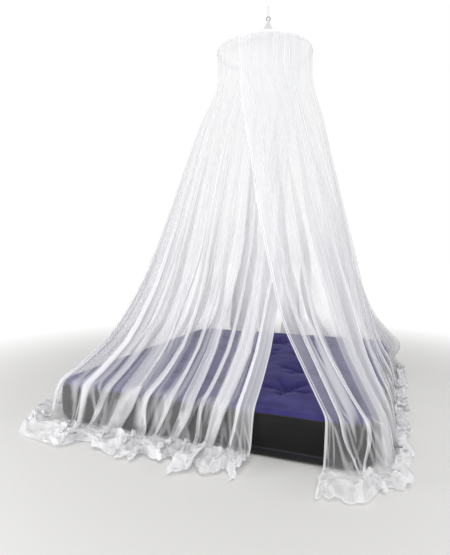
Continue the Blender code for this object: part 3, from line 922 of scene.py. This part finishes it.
# crumple the length that lies on the floor
def ruffleFoot(net):
    along, run = net.along, net.level["share"]
    start, length = ruffles["onFloor"]
    onFloor = ramp(run, start, length)
    foot = band(along, *ruffles["flapZone"])
    calm = band(along, *ruffles["sideZone"])
    crumple = 0
    for share, flapShare, less, around, out, seed in ruffles["crests"]:
        share = (1 - foot) * share * (1 - less * calm) + foot * flapShare
        crumple = crumple + share * ridges(along, run, around, out, seed)
    crumple = crumple * (1 - ruffles["sideLess"] * calm)
    mean, coarse, finer = ruffles["bends"]
    bend = fullTurn * (mean * run + coarse * waver(along, 76, 21) + finer * waver(along, 170, 22))
    crestHeight = ruffles["crestHeight"] - ruffles["flapLower"] * foot
    atFoot, lower = ruffles["outwardLower"]
    rise = ruffles["lie"] + ruffles["bendHeight"] * np.sin(bend)
    rise = rise + crestHeight * crumple * (atFoot - lower * run)
    aside = sum(far * patchNoise(along, run, around, out, seed)
                for far, around, out, seed in ruffles["asideStray"])
    aside = aside * (1 - ruffles["flapAsideLess"] * foot) * (1 - ruffles["sideAsideLess"] * calm)
    number, uneven, waves = ruffles["lobes"]
    lobes = np.abs(np.sin(fullTurn * (number * along + uneven * np.sin(fullTurn * waves * along))))
    reach, more = ruffles["lobeReach"]
    far, around, out, seed = ruffles["outStray"]
    outwards = (ruffles["bendOut"] * np.cos(bend) * (1 - foot)
                + far * patchNoise(along, run, around, out, seed)
                + (reach + more * foot) * (lobes - ruffles["lobeMean"]) * run ** 2)
    net.z = net.z + onFloor * rise
    net.xy = (net.xy + net.outward * (onFloor * outwards)[..., None]
              + net.sideways * (onFloor * aside)[..., None])
    net.onFloor, net.foot, net.crumple = onFloor, foot, crumple


creasing = {
    "count": 150,               # all round
    "seed": 64,
    "startsAbove": 0.05,        # the mattress edge
    "endsBelow": 0.015,         # the foot
    "fromEven": (-0.5, 1.5),    # how far each strays from its even place
    "slant": (0.25, 1.5),       # folds crossed on the way down
    "top": (-0.25, 0.45),       # shares of the wall
    "length": (0.45, 1.0),
    "width": (0.035, 0.075),    # of a fold
    "finest": 0.75,             # never narrower than this share of the columns' spacing
    "bow": (-0.12, 0.12),
    "strength": (0.4, 1.0),
    "fadeIn": 0.12,
    "fadeOut": 0.25,
    "ridge": 0.002,
}


# crossing creases, 0 to 1, where the sheet is caught on the mattress edge and hangs down its wall
def wallCreases(net):
    rng = np.random.default_rng(creasing["seed"])
    place = skirt["folds"] * net.along + net.across
    finest = creasing["finest"] * np.abs(np.gradient(place, axis=0))
    start = net.mark["edge"] - creasing["startsAbove"]
    down = ramp(net.at, start, net.mark["foot"] + creasing["endsBelow"] - start)
    lines = np.zeros_like(place)
    for number in range(creasing["count"]):
        middle = skirt["folds"] * (number + rng.uniform(*creasing["fromEven"])) / creasing["count"]
        slant = rng.choice((-1, 1)) * rng.uniform(*creasing["slant"])
        top, length = rng.uniform(*creasing["top"]), rng.uniform(*creasing["length"])
        thin = rng.uniform(*creasing["width"])
        bow = rng.uniform(*creasing["bow"])
        strength = rng.uniform(*creasing["strength"])
        width = np.hypot(thin, finest)
        centre = middle + slant * (down - 0.5) + bow * np.sin(math.pi * down)
        run = ramp(down, top, creasing["fadeIn"])
        run = run * np.clip((top + length - down) / creasing["fadeOut"], 0, 1)
        lines = np.maximum(lines, strength * (thin / width) ** 0.5 * run * band(place, centre, width, 2))
    return lines


# distance from a rounded corner, and the way out of it; past holds how far each point is past
# the two flat sides, measured where the rounding starts
def fromBlock(past, radius):
    outside = np.maximum(past, 0.0)
    length = np.hypot(outside[..., 0], outside[..., 1])
    distance = length + np.minimum(past.max(-1), 0.0) - radius
    towards = np.where(length[..., None] > 1e-9, outside / np.maximum(length, 1e-9)[..., None],
                       np.eye(2)[past.argmax(-1)])
    return distance, towards


# push points out of the mattress's rounded block, to gap metres from it
def keepOffBed(points, gap):
    corner, rim = bed["corner"], bed["rim"]
    middleZ, halfZ = (bedHigh.z + bedLow.z) / 2, (bedHigh.z - bedLow.z) / 2
    flat = np.abs(points[..., :2]) - (np.array([bed["halfX"], bed["halfY"]]) - corner)
    planDistance, towards = fromBlock(flat, corner)
    level = np.abs(points[..., 2] - middleZ) - halfZ
    distance, away = fromBlock(np.stack([planDistance + rim, level + rim], -1), rim)
    push = np.maximum(gap - distance, 0.0)
    moved = points.copy()
    moved[..., :2] += push[..., None] * away[..., :1] * towards * np.sign(points[..., :2])
    moved[..., 2] += push * away[..., 1] * np.sign(points[..., 2] - middleZ)
    return moved


thickness = {                   # all in layers of net
    "plain": 1.1,
    "nearHoop": 1.0,
    "onWall": -0.55,
    "casing": 6.0,
    "hem": 7.0,
    "crease": 5.0,
    "topEnds": 0.40,            # drop where the net stops being denser from the hoop
    "lowStarts": (0.42, 0.36),  # drop where the folds begin to show, and over how much they come
    "bandsShow": (0.12, 1.3),   # share of the bands up there, and how much more lower down
    "linesShow": (0.02, 0.98),
    "bands": (0.4, 5.0),        # in each bunched fold: all over, and more in its streaks
    "bandShare": (0.58, 0.55),  # mean, from fold to fold
    "bandRange": (0.08, 1.2),
    "bandEdge": 1.3,            # more makes the bands narrower
    "streakStray": 2.0,
    "bandThreads": 4.5,
    "threads": 1.3,
    "threadLines": (0.30, 0.40, 1.8),   # unevenness down the net, how few there are, how sharp
    "strays": 3.6,
    "strayLines": (0.6, 0.70, 2.4),
    "strayLean": 0.014,         # how far they cross the folds, of the net's whole width
    "strayMiddle": 0.6,         # drop about which they turn
    "wallStarts": 0.05,         # length under the mattress edge over which it thins
    "flapZone": (0.0, 0.050),   # sheerer by the outer front edge, with clear lines
    "flap": -0.36,
    "flapBandsLess": 0.68,
    "flapStrays": 5.0,
    "leftHem": ((0.988, 0.014), (0.66, 0.22)),      # where along, where down the net
    "leftHemLayers": (6.0, 6.0),                    # all over, and more in its threads
    "rightHem": ((0.009, 0.011), (0.40, 0.42, 6)),
    "rightHemLayers": (1.5, 9.0, 1.2),              # and more near the hoop
    "cornerZone": (0.114, 0.038),   # dense where it hangs off the right-hand mattress corner
    "cornerStarts": (0.45, 0.3),
    "corner": 9.0,
    "floor": (3.4, 11.0, 1.2),      # all over, more on the crests, highest crest counted
    "flapFloor": (0.9, 9.0, 1.0),
}


# fine lines that cross the folds at a slant
def strayLines(net, lean, seed):
    uneven, few, sharp = thickness["strayLines"]
    slid = net.along + lean * (net.drop - thickness["strayMiddle"])
    lines = waver(slid, 420, seed) + uneven * patchNoise(net.along, net.drop, 70, 9, seed + 1)
    return np.clip((lines - few) * sharp, 0, 1)


# how many thicknesses of net lie in each part of the sheet
def skirtLayers(net):
    along, drop, onFloor = net.along, net.drop, net.onFloor
    low = ramp(drop, *thickness["lowStarts"])
    top = np.clip(1 - drop / thickness["topEnds"], 0, 1)
    openFlap = band(along, *thickness["flapZone"])
    mean, each = thickness["bandShare"]
    bandShare = np.clip(mean + each * waver(along, skirt["folds"], 61), *thickness["bandRange"])
    bandShare = bandShare * (1 - thickness["flapBandsLess"] * openFlap)
    stray = thickness["streakStray"] * waver(along, skirt["folds"], 18)
    streaks = 0.5 + 0.5 * np.cos(3 * net.phase + stray)
    uneven, few, sharp = thickness["threadLines"]
    threads = waver(along, 560, 41) + uneven * patchNoise(along, drop, 280, 7, 42)
    threads = np.clip((threads - few) * sharp, 0, 1)
    lean = thickness["strayLean"]
    strays = strayLines(net, lean, 43) + strayLines(net, -lean, 45)
    onWall = ramp(net.at, net.mark["edge"], thickness["wallStarts"]) * (1 - onFloor)

    everywhere, inStreaks = thickness["bands"]
    bands = net.bunched ** thickness["bandEdge"] * bandShare * (everywhere + inStreaks * streaks ** 3)
    bands = bands + thickness["bandThreads"] * net.bunched * threads
    up, down = thickness["bandsShow"]
    layers = (thickness["plain"] + thickness["nearHoop"] * top + thickness["onWall"] * onWall
              + thickness["flap"] * openFlap + (up + down * low) * bands)
    up, down = thickness["linesShow"]
    layers = layers + (up + down * low) * (thickness["strays"] * strays + thickness["threads"] * threads)

    alongHem, downHem = thickness["leftHem"]
    allOver, inThreads = thickness["leftHemLayers"]
    layers = layers + band(along, *alongHem) * band(drop, *downHem) * (allOver + inThreads * threads)
    alongHem, downHem = thickness["rightHem"]
    allOver, inThreads, inTop = thickness["rightHemLayers"]
    layers = layers + (band(along, *alongHem) * band(drop, *downHem)
                       * (allOver + inThreads * threads + inTop * top))
    corner = band(along, *thickness["cornerZone"]) * ramp(drop, *thickness["cornerStarts"])
    layers = layers + thickness["corner"] * corner + (1 - onFloor) * thickness["crease"] * net.creases
    layers = layers + thickness["flapStrays"] * openFlap * low * strays

    for share, name in ((1 - net.foot, "floor"), (net.foot, "flapFloor")):
        allOver, onCrests, highest = thickness[name]
        layers = layers + onFloor * share * (allOver + onCrests * np.clip(net.crumple, 0, highest) ** 2)
    hem = np.zeros_like(layers)
    hem[:2] = 1
    hem[-2:] = 1
    hem[:, -1] = 1
    return layers + thickness["hem"] * hem + thickness["casing"] * (net.at <= skirt["casing"])


def makeSkirt(material):
    net = skirtGrid()
    hangFlat(net)
    foldSkirt(net)
    ruffleFoot(net)
    net.creases = wallCreases(net)
    net.xy = net.xy + net.outward * (creasing["ridge"] * net.creases * (1 - net.onFloor))[..., None]
    points = np.concatenate([net.xy, net.z[..., None]], -1)
    nearEdge = band(net.at, net.mark["edge"], skirt["edgeSoftness"])[..., None]
    for _ in range(skirt["edgeRounds"]):
        smooth = points.copy()
        smooth[:, 1:-1] = (points[:, :-2] + points[:, 2:]) / 4 + points[:, 1:-1] / 2
        points += (smooth - points) * nearEdge
    between = 0.5 + 0.5 * np.sin(net.phase)
    points = keepOffBed(points, skirt["keepOff"] * (1 + skirt["keepOffMore"] * between))
    points[..., 2] = np.maximum(points[..., 2], skirt["floorClear"])

    # the cloth's own lengths, measured round the row where the draped ones start
    drapeRow = skirt["rowsHanging"] + 2
    span = np.linalg.norm(np.diff(points[:, drapeRow], axis=0), axis=-1)
    acrossFlat = np.concatenate(([0.0], np.cumsum(span)))
    acrossFlat *= skirt["flatWidth"] / acrossFlat[-1]
    uv = np.stack(np.broadcast_arrays(acrossFlat[:, None], net.at), -1)
    crumpled = net.onFloor * (1 - ruffles["flapSmooth"] * net.foot)
    values = {"layers": skirtLayers(net), "crumpled": crumpled}
    thing = gridMesh("skirtNet", points, uv, values, material)
    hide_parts("net_skirt")
    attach(thing, "root")


cap = {
    "levels": (                 # rise, share of the hoop's radius, depth of the folds
        (0.0075, 1.0, 0.002), (0.022, 0.80, 0.007), (0.050, 0.52, 0.007), (0.095, 0.26, 0.006),
        (0.150, 0.11, 0.004), (0.190, 0.045, 0.002), (0.222, 0.022, 0.001)),
    "folds": 26,
    "columnsPerFold": 14,
    "rows": 40,
    "neckShift": (0.026, 0.010),
    "twist": (0.25, 3),         # of the folds towards the neck, and in how many waves
    "depths": (0.9, 0.35),      # of a fold, and of the strands in it
    "strands": (3, 1.5),        # to a fold, and how unevenly they come
    "uneven": (0.7, 0.3),       # mean depth, from fold to fold
    "outShare": 0.35,           # of a fold's depth that goes outwards, beside upwards
    "gatherLayers": (0.9, 1.0, 7.0),    # on the hoop, fewest, most
    "foldLayers": 0.8,
    "flatRadius": 0.26,
    "flatSide": 0.80,
    "flatArea": 0.50,
}


def makeCap(material):
    rise, share, fold = np.array(cap["levels"]).T
    knots = np.concatenate(([0.0], np.cumsum(np.hypot(np.diff(rise), np.diff(share) * hoop["radius"]))))
    at = np.linspace(0.0, knots[-1], cap["rows"])
    rise, share, fold = (smoothKnots(knots, values, at)[None, :] for values in (rise, share, fold))
    columns = cap["folds"] * cap["columnsPerFold"]
    along = (np.arange(columns) / columns)[:, None]
    far, waves = cap["twist"]
    angle = fullTurn * along + far * np.sin(fullTurn * along * waves) * (1 - share)
    main = np.cos(fullTurn * cap["folds"] * along)
    number, uneven = cap["strands"]
    strands = np.cos(fullTurn * cap["folds"] * number * along + uneven * waver(along, 30, 51))
    mainDepth, strandDepth = cap["depths"]
    mean, each = cap["uneven"]
    depth = fold * (mainDepth * main + strandDepth * strands)
    depth = depth * (mean + each * waver(along, cap["folds"], 52))
    radius = hoop["radius"] * share + cap["outShare"] * depth
    x, y = radius * np.sin(angle), -radius * np.cos(angle)
    middleX, middleY, middleZ = hoop["middle"]
    shiftX, shiftY = (shift * (1 - share) for shift in cap["neckShift"])
    z = middleZ + hoopRise(x, y) + rise + depth
    points = np.stack([middleX + shiftX + x, middleY + shiftY + y, z], -1)
    onHoop, fewest, most = cap["gatherLayers"]
    layers = np.clip(onHoop / share, fewest, most) + cap["foldLayers"] * (0.5 + 0.5 * main)
    layers = layers + thickness["casing"] * (at <= skirt["casing"])
    uv = np.stack(np.broadcast_arrays(along * fullTurn * cap["flatRadius"], at[None, :]), -1)
    thing = gridMesh("capNet", points, uv, {"layers": layers, "crumpled": 0.0}, material, closed=True)
    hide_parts("net_cap")
    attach(thing, "root")
    print("cap made")


addStudio()
netCloth = makeNetMaterial()
makeSkirt(netCloth)
makeCap(netCloth)
makeHoop(makeGrainyMaterial("woundTape", tapeFinish))
dressCadNode("hanging_ring", makeSteelMaterial())
dressCadNode("hanging_loop", makeGrainyMaterial("loopCord", cordFinish))
makeBed()
